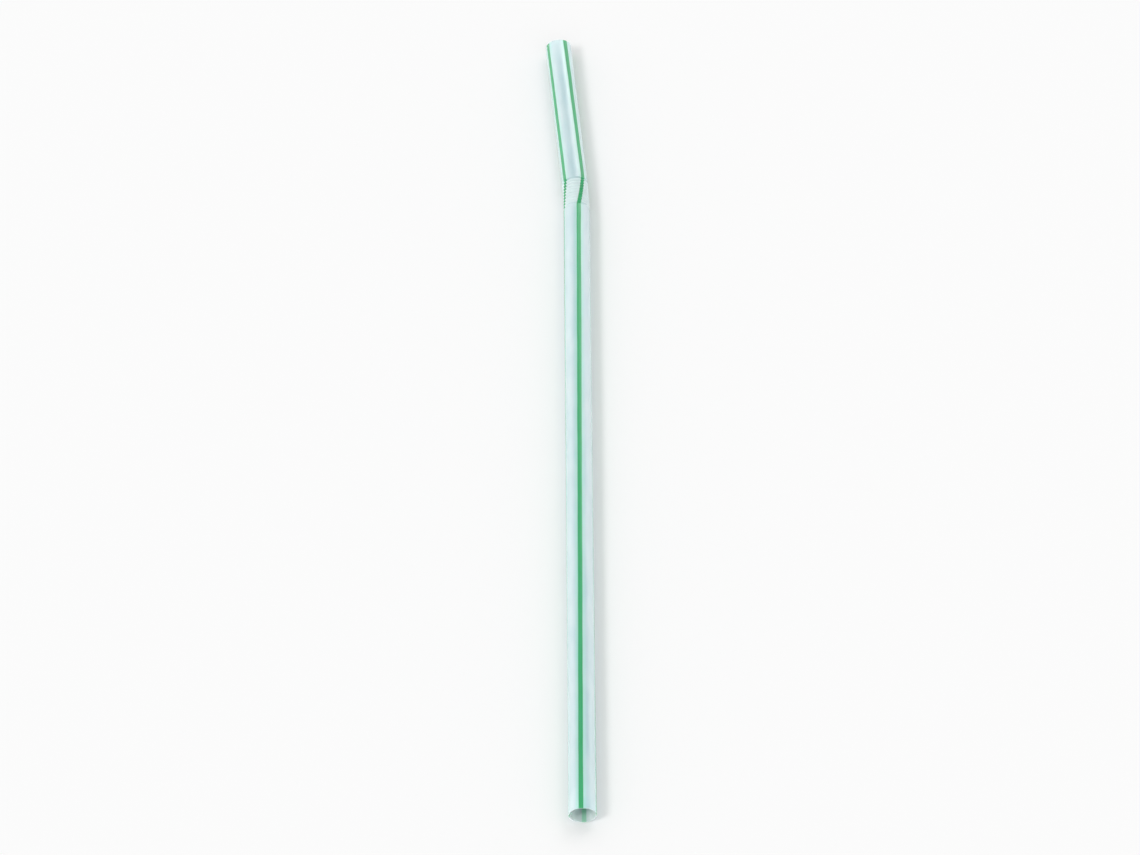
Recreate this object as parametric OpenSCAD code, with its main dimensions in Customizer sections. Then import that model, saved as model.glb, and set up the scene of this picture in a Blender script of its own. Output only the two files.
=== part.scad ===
// A flexible plastic drinking straw with its folds pushed together.
// It lies on its side along Y, with the long end toward -Y and the short
// end toward +Y, leaning to -X. Sizes are in millimetres.

/* [Tube] */
// Outside diameter of the tube and of the crests of the folds
straw_d = 6; // [4:0.1:12]
// Thickness of the wall
wall = 0.18; // [0.12:0.01:0.22]
// Length of the long end, from its open rim to the crest of the last fold
stem_len = 161; // [60:1:240]
// Length of the short end, from the first fold to the rim at the mouth
mouth_len = 41; // [15:1:80]

/* [Folds] */
// Number of folds
fold_count = 10; // [3:1:16]
// Distance from one fold to the next
fold_pitch = 0.8; // [0.7:0.05:1.2]
// Depth of a fold, from the outside of its crest to the inside of its valley
fold_depth = 0.9; // [0.8:0.05:1.1]
// How far a valley is tucked in below the crest that follows it
fold_tuck = 0.1; // [-0.3:0.05:0.2]
// Plain tube between the folds and each of the two slight bends
collar = 0.6; // [0.4:0.1:2]
// Angle by which the short end leans over
lean = 5; // [0:0.5:10]

/* [Stripes] */
// Number of stripes
stripe_count = 4; // [1:1:8]
// Width of a stripe
stripe_w = 1; // [0.4:0.1:1.6]

/* [Hidden] */
$fn = 96;

outer_r = straw_d / 2;
bore_r = outer_r - wall;
valley_r = outer_r - fold_depth + wall;

// Flat steps in the rounded edge of a fold
edge_steps = 8;
// Flat steps in each stretch of a stripe, and how many times as far from the
// axis as the wall the stripes are drawn, to show
turn_steps = 12;
stripe_lift = 1.006;

// The wall folds back and forth between sharp creases. A crest turns about
// its crease on the inside of the wall, and a valley about one on the outside.
function crest(i) = [bore_r, -i * fold_pitch];
function valley(i) = [valley_r, -(i + 1) * fold_pitch - fold_tuck];

// Directions of the long flank, from a crest in to its valley, and of the
// short flank, from that valley back out to the next crest
long_span = valley(0) - crest(0);
short_span = crest(1) - valley(0);
long_dir = atan2(long_span.y, long_span.x) - asin(wall / norm(long_span));
short_dir = atan2(short_span.y, short_span.x) + asin(wall / norm(short_span));

// Half of the lean is at each end of the folds, where the tube is mitred
bend = lean / 2;
overrun = outer_r * tan(bend / 2) + wall;

// Height of the first fold's crease and of the upper bend above the lower one
top_crease = max(fold_tuck, 0) + wall + collar + fold_count * fold_pitch;
neck_len = top_crease + collar;

// Plain tube beyond the bends
stem_tube = stem_len - (top_crease - fold_count * fold_pitch);
mouth_tube = mouth_len - collar;

// The stripes' places round the straw, from the top toward +X, at heights
// above the lower bend. They wander slowly along the tube, and the folds turn
// them when they are pressed in.
stripe_turns = [
    [-stem_tube, -7],
    [top_crease - fold_count * fold_pitch, 9.5],
    [top_crease, 39],
    [neck_len + mouth_tube, 31]
];

// Middle of the box round the straw, seen from above and from the lower bend
tip = neck_len * [-sin(bend), cos(bend)] + mouth_tube * [-sin(lean), cos(lean)];
middle = [
    (outer_r + tip.x - outer_r * cos(lean)) / 2,
    (tip.y + outer_r * sin(lean) - stem_tube) / 2
];

function arc(centre, r, from, to) = [
    for (k = [0:edge_steps])
        let (a = from + (to - from) * k / edge_steps)
            centre + r * [cos(a), sin(a)]
];

function reversed(points) = [for (k = [len(points) - 1:-1:0]) points[k]];

// Outside of the wall, down from the short end, round the edge of each crest
function wall_outside() = [
    for (i = [0:fold_count])
        let (from = i == 0 ? 0 : short_dir + 90)
            let (to = i == fold_count ? 0 : long_dir + 90)
                each concat(
                    arc(crest(i), wall, from, to),
                    i == fold_count ? [] : [valley(i)]
                )
];

// Inside of the wall, down from the short end, round the edge of each valley
function wall_inside() = [
    for (i = [0:fold_count])
        each concat(
            [crest(i)],
            i == fold_count ? [] : arc(valley(i), wall, long_dir + 270, short_dir + 270)
        )
];

// Everything below the level z = 0, or above it
module half_space(above) {
    reach = stem_len + mouth_len + neck_len;
    translate([-reach, -reach, above ? 0 : -reach])
        cube([2 * reach, 2 * reach, reach]);
}

// Two tubes that meet at a bend in the origin, mitred at z = 0. The first
// child hangs below the bend and the second stands on it, each upright.
module mitred() {
    intersection() {
        rotate([0, bend / 2, 0]) children(0);
        half_space(above = false);
    }
    intersection() {
        rotate([0, -bend / 2, 0]) children(1);
        half_space(above = true);
    }
}

// Plain tube standing on z = 0
module tube(length) {
    rotate_extrude()
        translate([bore_r, 0])
            square([wall, length]);
}

// Long end, up to the lower bend
module stem() {
    translate([0, 0, -stem_tube])
        tube(stem_tube + overrun);
}

// Folds with a collar at each end, standing on the lower bend
module folds() {
    top = [bore_r, neck_len - top_crease + overrun];
    bottom = [bore_r, -top_crease - overrun];
    translate([0, 0, top_crease])
        rotate_extrude()
            polygon(concat(
                [top + [wall, 0]],
                wall_outside(),
                [bottom + [wall, 0], bottom],
                reversed(wall_inside()),
                [top]
            ));
}

// Short end, standing on the upper bend
module mouth() {
    translate([0, 0, -overrun])
        tube(overrun + mouth_tube);
}

// Wedges from the axis out past the wall, one for each stripe
module wedges() {
    half_angle = stripe_w / outer_r * 90 / PI;
    for (i = [0:stripe_count - 1])
        rotate(i * 360 / stripe_count)
            polygon(straw_d * [
                [0, 0],
                [cos(half_angle), -sin(half_angle)],
                [cos(half_angle), sin(half_angle)]
            ]);
}

// The wedges drawn out along a straight straw that stands with its lower bend
// at the origin and its top side toward -Y
module under_stripes() {
    for (k = [1:len(stripe_turns) - 1]) {
        from = stripe_turns[k - 1];
        to = stripe_turns[k];
        translate([0, 0, from.x])
            linear_extrude(to.x - from.x, twist = from.y - to.y, slices = turn_steps)
                rotate(from.y - 90)
                    wedges();
    }
}

// A length of wall, or only the stripes in it. Its z = 0 is at the given
// height above the lower bend.
module length_of(stripes, height = 0) {
    if (stripes)
        scale([stripe_lift, stripe_lift, 1])
            intersection() {
                children();
                translate([0, 0, -height]) under_stripes();
            }
    else
        children();
}

// The whole straw, or only its stripes, with its long end upright and the
// lower bend at the origin
module standing(stripes = false) {
    rotate([0, -bend, 0])
        translate([0, 0, neck_len])
            rotate([0, -bend / 2, 0])
                mitred() {
                    translate([0, 0, -neck_len])
                        rotate([0, bend / 2, 0])
                            mitred() {
                                length_of(stripes) stem();
                                length_of(stripes) folds();
                            }
                    length_of(stripes, neck_len) mouth();
                }
}

// Lays a standing straw down as it rests
module lying() {
    translate([-middle.x, -middle.y, outer_r])
        rotate([-90, 0, 0])
            children();
}

// The straw. Its stripes are colour in the wall and have no shape of their
// own, so they are only drawn over it in the preview.
module straw() {
    color([0.83, 0.92, 0.91]) lying() standing();
    %color([0.22, 0.72, 0.46]) lying() standing(stripes = true);
}

straw();
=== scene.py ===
"""A flexible drinking straw with green stripes, lying on a pale floor. Lengths are in metres."""

import math

import bpy
import numpy as np
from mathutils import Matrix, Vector


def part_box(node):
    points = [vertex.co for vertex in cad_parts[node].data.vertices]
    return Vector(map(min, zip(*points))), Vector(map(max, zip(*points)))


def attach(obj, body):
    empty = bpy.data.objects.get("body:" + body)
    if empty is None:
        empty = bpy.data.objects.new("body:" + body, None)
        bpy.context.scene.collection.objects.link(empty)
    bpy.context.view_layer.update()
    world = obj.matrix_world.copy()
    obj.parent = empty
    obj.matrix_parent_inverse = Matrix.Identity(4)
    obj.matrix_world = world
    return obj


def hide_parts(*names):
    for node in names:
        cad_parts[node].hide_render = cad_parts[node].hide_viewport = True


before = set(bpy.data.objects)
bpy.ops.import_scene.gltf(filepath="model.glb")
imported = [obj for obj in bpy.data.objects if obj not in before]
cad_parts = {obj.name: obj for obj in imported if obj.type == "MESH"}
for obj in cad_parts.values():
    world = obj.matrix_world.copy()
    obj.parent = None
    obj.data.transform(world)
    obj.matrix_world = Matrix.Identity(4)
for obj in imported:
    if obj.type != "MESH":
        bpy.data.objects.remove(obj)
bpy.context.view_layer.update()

MM = 0.001
MICRON = 0.000001
QUARTER = math.pi / 2

# The tube as it lies: its radius, the middle of its long end, and where that end is cut
straw_low, straw_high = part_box("straw")
OUTER_R = (straw_high.z - straw_low.z) / 2
STEM_X = straw_high.x - OUTER_R
STEM_RIM_Y = straw_low.y
FLOOR_Z = straw_low.z

# The wall, the plain lengths and the folds between them
WALL = 0.18 * MM
STEM_LEN = 161 * MM
MOUTH_LEN = 41 * MM
FOLD_COUNT = 10
FOLD_PITCH = 0.8 * MM
FOLD_DEPTH = 0.9 * MM
FOLD_TUCK = 0.1 * MM
COLLAR = 0.6 * MM
LEAN = math.radians(5)
CREASE_R = 0.02 * MM
RIM_ROUND = 0.04 * MM

BORE_R = OUTER_R - WALL
VALLEY_R = OUTER_R - FOLD_DEPTH + WALL

# Distances along the straw, from the start of the lean and up to the rim at the mouth
TOP_CREASE = FOLD_TUCK + WALL + COLLAR + FOLD_COUNT * FOLD_PITCH
NECK_LEN = TOP_CREASE + COLLAR
LAST_CREASE = TOP_CREASE - FOLD_COUNT * FOLD_PITCH
STEM_RIM = LAST_CREASE - STEM_LEN
MOUTH_RIM = NECK_LEN - COLLAR + MOUTH_LEN

# How finely the wall is cut up into faces: columns round it, the widest gap between two rings on
# the plain lengths, and the steps round the edge of a fold, its crease and a corner of a rim
COLUMNS = 128
RING_GAP = 4 * MM
EDGE_STEPS = 12
CREASE_STEPS = 3
RIM_STEPS = 4

# The stripes: how many, how wide, and how far round from the top toward +X one of them lies at
# each of four distances along the straw
STRIPE_COUNT = 4
STRIPE_WIDTH = 1.0 * MM
STRIPE_PLACES = (
    (STEM_RIM, math.radians(-7)),
    (LAST_CREASE, math.radians(9.5)),
    (TOP_CREASE, math.radians(39)),
    (MOUTH_RIM, math.radians(31)),
)

# A stripe's edge, on a scale that goes from 1 in the middle of a stripe to -1 between two:
# how soft it is, how far it wanders, and how far from it the painted glow next to it reaches
EDGE_SOFTNESS = 0.06
EDGE_WANDER = 0.1
STRIPE_GLOW_REACH = 1.2

# Noise in the plastic: how fast it changes across and along the tube, per millimetre, and its
# detail. It lies round its middle, and nearly all of it is within its range.
EDGE_NOISE = (1.5, 0.12, 2)
MOTTLE_NOISE = (0.35, 0.12, 1)
STREAK_NOISE = (5, 0.03, 2)
NOISE_MIDDLE = 0.5
NOISE_RANGE = (0.2, 0.8)

# Colours of the plastic and of the stripes in it, each between two shades
BODY_SHADES = ((0.55, 0.76, 0.815, 1), (0.65, 0.84, 0.885, 1))
STRIPE_SHADES = ((0.028, 0.39, 0.145, 1), (0.045, 0.46, 0.19, 1))

# What the plastic turns to next to a stripe, which is a painted glow; in the folds, whiter partly
# from the folded plastic itself and partly from painted light against the shade in the grooves;
# and inside the tube, painted paler as if lit through the wall. Then what a stripe turns to inside
# the tube, painted paler in the same way. The shares say how far it goes.
STRIPE_GLOW = (0.42, 0.97, 0.74, 1)
STRIPE_GLOW_SHARE = 0.5
FOLDS_WHITE_AND_LIT = (0.75, 0.935, 0.955, 1)
FOLDS_SHARE = 0.9
LIT_INSIDE_TUBE = (0.83, 0.99, 0.99, 1)
STRIPE_LIT_INSIDE = (0.50, 0.80, 0.66, 1)
STRIPE_LIT_INSIDE_SHARE = 0.75

# The plastic's finish. All of its roughness is below 0.27, since a denoised render draws a hard
# line wherever roughness crosses that. Less light goes straight through stripes and folds. The
# reliefs are how much higher the surface is where a noise is 1 than where it is 0.
ROUGHNESS = (0.17, 0.26)
REFRACTION = 1.49
CLEAR_PLAIN = 0.27
CLEAR_CLOUDED = 0.08
SCATTER_LENGTH = 0.35 * MM
STREAK_RELIEF = 4 * MICRON
MOTTLE_RELIEF = 60 * MICRON

# The floor: half of its width, its colour and its finish
FLOOR_REACH = 40
FLOOR_COLOUR = (0.93, 0.93, 0.93, 1)
FLOOR_ROUGHNESS = 0.9

# The camera: how steeply it looks down, how far round toward -X it stands, its distance, how much
# nearer than the middle of the straw it is aimed, the angle that it takes in from top to bottom,
# and the size of its picture in pixels
VIEW_ELEVATION = math.radians(55)
VIEW_TURN = math.radians(0.4)
VIEW_DISTANCE = 1.06
VIEW_NEARER = 5 * MM
VIEW_HEIGHT = math.radians(10.3)
PICTURE_SIZE = (1140, 855)

# The sky: how strong its light is, and how bright it looks
SKY_LIGHT = 0.79
SKY_SEEN = 0.975

# The two suns: a place in each one's direction, how wide it looks, and its strength
KEY_SUN = ((-1.0, -0.7, 1.5), math.radians(15), 0.8)
BACK_SUN = ((0.5, 0.9, 1.2), math.radians(25), 0.22)


def add_object(name, data):
    """Puts a mesh, lamp or camera into the scene."""
    thing = bpy.data.objects.new(name, data)
    bpy.context.scene.collection.objects.link(thing)
    return thing


def arc(centre, radius, start, stop, steps):
    """Points round a centre, as (distance from the axis, distance along), angles in radians."""
    angles = np.linspace(start, stop, steps + 1)
    return [(centre[0] + radius * math.cos(a), centre[1] + radius * math.sin(a)) for a in angles]


def plain(radius, start, stop):
    """Points along a plain length of tube, without its two ends."""
    gaps = max(2, math.ceil(abs(stop - start) / RING_GAP))
    return [(radius, start + (stop - start) * k / gaps) for k in range(1, gaps)]


def crest(i):
    """The centre of a crest's rounding."""
    return np.array([BORE_R - CREASE_R, TOP_CREASE - i * FOLD_PITCH])


def valley(i):
    """The centre of a valley's rounding."""
    return np.array([VALLEY_R + CREASE_R, TOP_CREASE - (i + 1) * FOLD_PITCH - FOLD_TUCK])


def flank_angle(start, stop, side):
    """The direction of a flank that leaves one rounding and reaches the next on its other side."""
    span = stop - start
    lean_off = math.asin((WALL + 2 * CREASE_R) / np.linalg.norm(span))
    return math.atan2(span[1], span[0]) + side * lean_off


LONG_FLANK = flank_angle(crest(0), valley(0), -1)
SHORT_FLANK = flank_angle(valley(0), crest(1), 1)


def folded_side(outside):
    """One side of the wall from the first crest down to the last, round every edge and crease."""
    crest_r, valley_r = CREASE_R, CREASE_R + WALL
    crest_steps, valley_steps = CREASE_STEPS, EDGE_STEPS
    if outside:
        crest_r, valley_r = valley_r, crest_r
        crest_steps, valley_steps = valley_steps, crest_steps
    valley_start = LONG_FLANK + 3 * QUARTER
    valley_stop = SHORT_FLANK + 3 * QUARTER
    points = []
    for i in range(FOLD_COUNT + 1):
        start = 0 if i == 0 else SHORT_FLANK + QUARTER
        stop = 0 if i == FOLD_COUNT else LONG_FLANK + QUARTER
        points += arc(crest(i), crest_r, start, stop, crest_steps)
        if i < FOLD_COUNT:
            points += arc(valley(i), valley_r, valley_start, valley_stop, valley_steps)
    return points


def cut_end(along, upward):
    """The two rounded corners of a cut end, from the outside of the wall to its inside."""
    back = along - upward * RIM_ROUND
    half_way = upward * QUARTER
    outer = arc((OUTER_R - RIM_ROUND, back), RIM_ROUND, 0, half_way, RIM_STEPS)
    inner = arc((BORE_R + RIM_ROUND, back), RIM_ROUND, half_way, 2 * half_way, RIM_STEPS)
    return outer + inner


def wall_section():
    """The closed outline of the wall, and how far each of its points is on the inside.

    It goes down the outside, round the open end, up the inside and round the mouth.
    """
    down = plain(OUTER_R, MOUTH_RIM - RIM_ROUND, TOP_CREASE) + folded_side(True)
    down += plain(OUTER_R, LAST_CREASE, STEM_RIM + RIM_ROUND)
    up = plain(BORE_R, MOUTH_RIM - RIM_ROUND, TOP_CREASE) + folded_side(False)
    up += plain(BORE_R, LAST_CREASE, STEM_RIM + RIM_ROUND)
    open_end, mouth_end = cut_end(STEM_RIM, -1), cut_end(MOUTH_RIM, 1)
    outline = np.array(down + open_end + up[::-1] + mouth_end[::-1])
    crossing = np.linspace(0, 1, len(open_end))
    inside = np.concatenate([np.zeros(len(down)), crossing, np.ones(len(up)), crossing[::-1]])
    return outline, inside


def bent_axis(along):
    """The middle of the straw and its sideways direction, where the folds share out the lean."""
    turn_r = NECK_LEN / LEAN
    turned = np.clip(along, 0, NECK_LEN) / turn_r
    below = np.minimum(along, 0)
    past = np.maximum(along - NECK_LEN, 0)
    flat = np.zeros_like(along)
    level = STEM_X - turn_r * (1 - np.cos(turned)) - past * np.sin(turned)
    forward = STEM_RIM_Y - STEM_RIM + below + turn_r * np.sin(turned) + past * np.cos(turned)
    middle = np.stack([level, forward, flat + FLOOR_Z + OUTER_R], axis=-1)
    sideways = np.stack([np.cos(turned), np.sin(turned), flat], axis=-1)
    return middle, sideways


def stripe_turn(along):
    """How far the stripes have turned round the straw."""
    places, turns = zip(*STRIPE_PLACES)
    return np.interp(along, places, turns)


def make_straw():
    """The whole wall as one closed mesh.

    Its points keep their place in the straight, unturned tube, and how far they are on the inside.
    """
    outline, inside = wall_section()
    radius, along = outline.T[:, :, None]
    column = np.arange(COLUMNS) * 2 * math.pi / COLUMNS
    turned = column + stripe_turn(along)
    middle, sideways = bent_axis(along)
    up = np.array([0, 0, 1])
    outward = np.sin(turned)[..., None] * sideways + np.cos(turned)[..., None] * up
    points = middle + radius[..., None] * outward
    straight = (radius * np.cos(column), radius * np.sin(column), along)
    places = np.stack(np.broadcast_arrays(*straight), axis=-1)

    rings = len(radius)
    ring, col = np.meshgrid(np.arange(rings), np.arange(COLUMNS), indexing="ij")
    next_ring, next_col = (ring + 1) % rings, (col + 1) % COLUMNS
    corners = [
        ring * COLUMNS + col,
        ring * COLUMNS + next_col,
        next_ring * COLUMNS + next_col,
        next_ring * COLUMNS + col,
    ]
    faces = np.stack(corners, axis=-1).reshape(-1, 4)

    mesh = bpy.data.meshes.new("straw_wall")
    mesh.from_pydata(points.reshape(-1, 3).tolist(), [], faces.tolist())
    mesh.polygons.foreach_set("use_smooth", np.ones(len(faces), dtype=bool))
    place = mesh.attributes.new("place", "FLOAT_VECTOR", "POINT")
    place.data.foreach_set("vector", places.reshape(-1).astype(np.float32))
    inner = mesh.attributes.new("inside", "FLOAT", "POINT")
    inner.data.foreach_set("value", np.repeat(inside, COLUMNS).astype(np.float32))
    mesh.update()
    return add_object("straw_wall", mesh)


class Shader:
    """A material whose nodes are added one by one, each fed by numbers or by outputs of others."""

    def __init__(self, name):
        self.material = bpy.data.materials.new(name)
        self.material.use_nodes = True
        self.nodes = self.material.node_tree.nodes
        self.links = self.material.node_tree.links
        self.surface = self.nodes["Principled BSDF"]

    def put(self, node, inputs):
        """Feeds a node's inputs, by their names or numbers."""
        for name, value in inputs.items():
            if isinstance(value, bpy.types.NodeSocket):
                self.links.new(value, node.inputs[name])
            else:
                node.inputs[name].default_value = value

    def add(self, kind, inputs, output=0, **settings):
        """Adds a node and gives back one of its outputs."""
        node = self.nodes.new(kind)
        for name, value in settings.items():
            setattr(node, name, value)
        self.put(node, inputs)
        return node.outputs[output]

    def stored(self, name, output):
        """What a mesh stores under a name, as a vector or a number."""
        return self.add("ShaderNodeAttribute", {}, output=output, attribute_name=name)

    def math(self, operation, *values):
        """Works out one sum with numbers or with outputs of other nodes."""
        return self.add("ShaderNodeMath", dict(enumerate(values)), operation=operation)

    def noise(self, place, across, along, detail):
        """Noise that changes at its own rate across the tube and along it, per millimetre."""
        rates = (across / MM, across / MM, along / MM)
        spread = self.add("ShaderNodeVectorMath", {0: place, 1: rates}, operation="MULTIPLY")
        return self.add("ShaderNodeTexNoise", {"Vector": spread, "Scale": 1.0, "Detail": detail})

    def ramp(self, value, start, stop, low=0.0, high=1.0):
        """Goes smoothly from low to high as a value goes from start to stop."""
        inputs = {
            "Value": value,
            "From Min": start,
            "From Max": stop,
            "To Min": low,
            "To Max": high,
        }
        return self.add("ShaderNodeMapRange", inputs, interpolation_type="SMOOTHSTEP")

    def mix_values(self, share, first, second):
        """Mixes two numbers, which are a mix node's inputs 2 and 3."""
        return self.add("ShaderNodeMix", {0: share, 2: first, 3: second}, data_type="FLOAT")

    def mix_colours(self, share, first, second):
        """Mixes two colours, which are a mix node's inputs 6 and 7. Its output 2 is a colour."""
        inputs = {0: share, 6: first, 7: second}
        return self.add("ShaderNodeMix", inputs, output=2, data_type="RGBA")


def stripe_scale(shader, place, across, around):
    """Goes from 1 in the middle of each stripe to -1 between two, and wanders a little.

    It is the cosine of the angle round the straw times the number of stripes.
    """
    angle = shader.math("ARCTAN2", around, across)
    lane = shader.math("COSINE", shader.math("MULTIPLY", angle, STRIPE_COUNT))
    noise = shader.math("SUBTRACT", shader.noise(place, *EDGE_NOISE), NOISE_MIDDLE)
    return shader.math("ADD", lane, shader.math("MULTIPLY", noise, EDGE_WANDER))


def folded_share(shader, height):
    """Rises from 0 at the first and the last crest to its full share one fold further in."""
    centre = (TOP_CREASE + LAST_CREASE) / 2
    half_length = (TOP_CREASE - LAST_CREASE) / 2
    from_centre = shader.math("ABSOLUTE", shader.math("SUBTRACT", height, centre))
    return shader.ramp(from_centre, half_length, half_length - FOLD_PITCH, 0, FOLDS_SHARE)


def striped_plastic():
    """Milky plastic with stripes of another colour all through the wall.

    It has a painted glow next to the stripes. In the folds it is whiter, partly from the folded
    plastic's own whitening and partly as painted light against the shade in the grooves. Inside
    the tube it is painted paler, as if lit through the wall all round.
    """
    shader = Shader("striped_plastic")
    place = shader.stored("place", "Vector")
    inside = shader.stored("inside", "Fac")
    parts = shader.add("ShaderNodeSeparateXYZ", {0: place}).node.outputs
    mottle = shader.noise(place, *MOTTLE_NOISE)
    streaks = shader.noise(place, *STREAK_NOISE)

    edge = math.cos(STRIPE_COUNT * STRIPE_WIDTH / 2 / OUTER_R)
    scale = stripe_scale(shader, place, parts["X"], parts["Y"])
    stripe = shader.ramp(scale, edge - EDGE_SOFTNESS, edge + EDGE_SOFTNESS)
    # How strongly the painted glow shows next to the stripes
    glow_share = shader.ramp(scale, edge - STRIPE_GLOW_REACH, edge, 0, STRIPE_GLOW_SHARE)
    folded = folded_share(shader, parts["Z"])

    body = shader.mix_colours(shader.ramp(mottle, *NOISE_RANGE), *BODY_SHADES)
    # The painted glow next to the stripes
    with_glow = shader.mix_colours(glow_share, body, STRIPE_GLOW)
    # Whiter in the folds: partly the folded plastic's own whitening, partly painted light against
    # the shade in the grooves
    whitened_and_lit = shader.mix_colours(folded, with_glow, FOLDS_WHITE_AND_LIT)
    # Painted light inside the tube, as if it were lit through the wall all round
    lit_inside = shader.mix_colours(inside, whitened_and_lit, LIT_INSIDE_TUBE)
    pigment = shader.mix_colours(shader.ramp(streaks, *NOISE_RANGE), *STRIPE_SHADES)
    # The stripes are painted paler inside the tube in the same way
    inside_light_share = shader.math("MULTIPLY", inside, STRIPE_LIT_INSIDE_SHARE)
    stripe_painted_inside = shader.mix_colours(inside_light_share, pigment, STRIPE_LIT_INSIDE)

    clouded = shader.math("MAXIMUM", stripe, folded)
    mottle_relief = shader.math("MULTIPLY", mottle, MOTTLE_RELIEF / STREAK_RELIEF)
    relief = shader.math("ADD", streaks, mottle_relief)
    bump = {"Strength": 1.0, "Distance": STREAK_RELIEF, "Height": relief}
    shader.put(shader.surface, {
        "Base Color": shader.mix_colours(stripe, lit_inside, stripe_painted_inside),
        "Roughness": shader.ramp(mottle, *NOISE_RANGE, *ROUGHNESS),
        "Normal": shader.add("ShaderNodeBump", bump),
        "IOR": REFRACTION,
        "Transmission Weight": shader.mix_values(clouded, CLEAR_PLAIN, CLEAR_CLOUDED),
        "Subsurface Weight": 1.0,
        "Subsurface Radius": (1.0, 1.0, 1.0),
        "Subsurface Scale": SCATTER_LENGTH,
    })
    return shader.material


def make_floor():
    """A plain pale floor, wide enough to fill every view."""
    mesh = bpy.data.meshes.new("floor")
    signs = ((-1, -1), (1, -1), (1, 1), (-1, 1))
    corners = [(x * FLOOR_REACH, y * FLOOR_REACH, FLOOR_Z) for x, y in signs]
    mesh.from_pydata(corners, [], [(0, 1, 2, 3)])
    shader = Shader("floor_white")
    shader.put(shader.surface, {
        "Base Color": FLOOR_COLOUR,
        "Roughness": FLOOR_ROUGHNESS,
        "Specular IOR Level": 0.0,
    })
    mesh.materials.append(shader.material)
    floor = add_object("floor", mesh)


def aim(thing, target):
    """Turns a lamp or camera to look at a point."""
    thing.rotation_mode = "QUATERNION"
    thing.rotation_quaternion = (Vector(target) - thing.location).to_track_quat("-Z", "Y")


def make_camera(target):
    """Looks down at the straw along its length, as the photograph does."""
    data = bpy.data.cameras.new("camera")
    width_share = PICTURE_SIZE[0] / PICTURE_SIZE[1] * math.tan(VIEW_HEIGHT / 2)
    data.lens = data.sensor_width / 2 / width_share
    level = VIEW_DISTANCE * math.cos(VIEW_ELEVATION)
    offset = Vector((
        -level * math.sin(VIEW_TURN),
        -level * math.cos(VIEW_TURN),
        VIEW_DISTANCE * math.sin(VIEW_ELEVATION),
    ))
    target = target - Vector((0, VIEW_NEARER, 0))
    camera = add_object("camera", data)
    camera.location = target + offset
    aim(camera, target)
    bpy.context.scene.camera = camera


def make_sun(name, place, width, strength, target):
    """A lamp far off in the direction of a place. Its width is an angle and makes shadows soft."""
    data = bpy.data.lights.new(name, "SUN")
    data.angle = width
    data.energy = strength
    lamp = add_object(name, data)
    lamp.location = place
    aim(lamp, target)


def make_sky():
    """A pale sky.

    Seen, mirrored or through plastic it is as bright as the floor, so no horizon shows.
    """
    scene = bpy.context.scene
    scene.world = bpy.data.worlds.new("sky")
    scene.world.use_nodes = True
    nodes = scene.world.node_tree.nodes
    links = scene.world.node_tree.links
    path = nodes.new("ShaderNodeLightPath")
    seen = path.outputs["Is Camera Ray"]
    for kind in ("Is Glossy Ray", "Is Transmission Ray"):
        either = nodes.new("ShaderNodeMath")
        either.operation = "MAXIMUM"
        links.new(seen, either.inputs[0])
        links.new(path.outputs[kind], either.inputs[1])
        seen = either.outputs["Value"]
    strength = nodes.new("ShaderNodeMapRange")
    strength.inputs["To Min"].default_value = SKY_LIGHT
    strength.inputs["To Max"].default_value = SKY_SEEN
    links.new(seen, strength.inputs["Value"])
    links.new(strength.outputs["Result"], nodes["Background"].inputs["Strength"])
    nodes["Background"].inputs["Color"].default_value = (1, 1, 1, 1)


def make_light(target):
    """The sky, a sun from the front left and a weaker and wider one from behind on the right."""
    make_sky()
    make_sun("key", *KEY_SUN, target)
    make_sun("back", *BACK_SUN, target)
    bpy.context.scene.view_settings.view_transform = "Standard"


middle = (straw_low + straw_high) / 2
make_camera(middle)
make_light(middle)
make_floor()

straw = make_straw()
straw.data.materials.append(striped_plastic())
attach(straw, "root")
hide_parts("straw")
